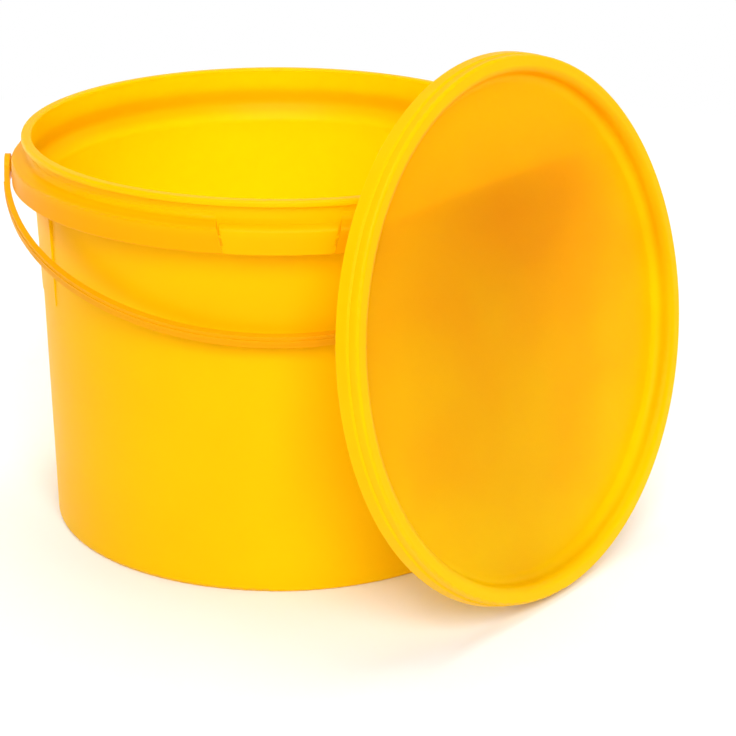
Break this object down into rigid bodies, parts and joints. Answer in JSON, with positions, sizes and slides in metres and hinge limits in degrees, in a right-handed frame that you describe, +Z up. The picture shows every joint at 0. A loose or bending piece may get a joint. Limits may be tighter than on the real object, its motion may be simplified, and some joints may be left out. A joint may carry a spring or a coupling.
{
  "type": "bucket with lid",
  "caption": "Round translucent plastic pail with a collared rim, a swinging bail handle, a tear-off tab and a press-on lid that leans beside it, for honey, feed or other bulk food.",
  "frame": {"origin": "centre of the bucket's foot ring, on the floor and on the bucket's axis", "axes": "+Z up along the bucket's axis, -Y to the front where the handle hangs and the tab is, +X to the right-hand end of the handle"},
  "size_m": [0.3527, 0.3512, 0.2674],
  "materials": {
    "bucket_plastic": "satin moulded translucent polypropylene, warm yellow",
    "handle_plastic": "satin moulded polypropylene, warm yellow",
    "lid_plastic": "glossy moulded translucent polypropylene, warm yellow"
  },
  "bodies": {
    "bucket": {"bucket": "bucket_plastic"},
    "tear_tab": {"tear_tab": "bucket_plastic"},
    "bail_handle": {"bail_handle": "handle_plastic"},
    "lid": {"lid": "lid_plastic"}
  },
  "joints": [
    {"name": "bail_swing", "type": "hinge", "parent": "bucket", "child": "bail_handle", "pos_m": [0, 0, 0.1875], "axis": [-1, 0, 0], "range_deg": [-4.7, 225.9]},
    {"name": "lid_take_away", "type": "slide", "parent": "bucket", "child": "lid", "axis": [0.751, -0.6346, 0.1822], "range_m": [0, 0.3]},
    {"name": "tab_tear_off", "type": "slide", "parent": "bucket", "child": "tear_tab", "axis": [0, -1, 0], "range_m": [0, 0.03]}
  ]
}
